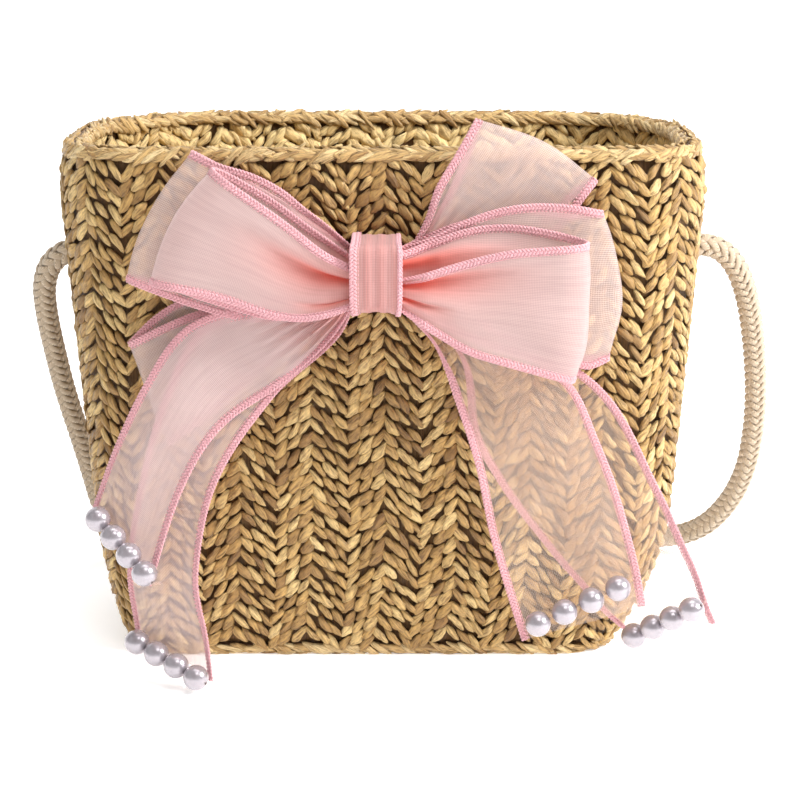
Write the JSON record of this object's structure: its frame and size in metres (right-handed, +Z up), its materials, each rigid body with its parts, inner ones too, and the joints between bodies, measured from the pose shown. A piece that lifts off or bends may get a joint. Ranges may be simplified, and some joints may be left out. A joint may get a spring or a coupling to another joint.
{
  "type": "flower girl basket",
  "caption": "Tapered woven straw tote with a braided rope handle and a sheer ribbon bow whose tails end in rows of pearls, for scattering petals at a wedding",
  "frame": {"origin": "centre of the base's underside, on the surface the basket stands on", "axes": "+Z up from the base to the rim, +X along the basket's long side to the viewer's right, the bow faces -Y"},
  "size_m": [0.2512, 0.1756, 0.176],
  "materials": {
    "straw": "twisted paper straw in a herringbone weave, dry satin",
    "straw_braid": "twisted paper straw edge braid, dry satin",
    "rope": "braided cotton rope, matte cream",
    "ribbon": "sheer organza, soft sheen",
    "band": "organza in several plies with overlocked edges",
    "pearl": "pearl lustre",
    "pearl_thread": "fine white thread",
    "tack_thread": "pink sewing thread"
  },
  "bodies": {
    "root": {"basket_wall": "straw", "basket_base": "straw", "rim_braid": "straw_braid", "base_edge_braid": "straw_braid", "bow_knot_band": "band", "ribbon_core": "ribbon", "left_loop_front": "ribbon", "left_loop_rear": "ribbon", "left_loop_lower": "ribbon", "right_loop_front": "ribbon", "right_loop_rear": "ribbon", "right_loop_upper": "ribbon", "bow_tack": "tack_thread"},
    "handle": {"rope_handle": "rope", "rope_knot_left": "rope", "rope_knot_right": "rope"},
    "left_tails": {"left_tail_front": "ribbon", "left_tail_rear": "ribbon", "pearls_left_front": "pearl", "pearls_left_rear": "pearl", "pearl_thread_left_front": "pearl_thread", "pearl_thread_left_rear": "pearl_thread"},
    "right_tails": {"right_tail_front": "ribbon", "right_tail_rear": "ribbon", "pearls_right_front": "pearl", "pearls_right_rear": "pearl", "pearl_thread_right_front": "pearl_thread", "pearl_thread_right_rear": "pearl_thread"}
  },
  "joints": [
    {"name": "handle_swing", "type": "hinge", "parent": "root", "child": "handle", "pos_m": [0, 0, 0.1275], "axis": [1, 0, 0], "range_deg": [0, 235]},
    {"name": "left_tails_swing", "type": "hinge", "parent": "root", "child": "left_tails", "pos_m": [-0.036, -0.0594, 0.114], "axis": [-1, 0, 0], "range_deg": [0, 60]},
    {"name": "right_tails_swing", "type": "hinge", "parent": "root", "child": "right_tails", "pos_m": [0.037, -0.0594, 0.1015], "axis": [-0.9397, 0, 0.342], "range_deg": [0, 60]}
  ]
}
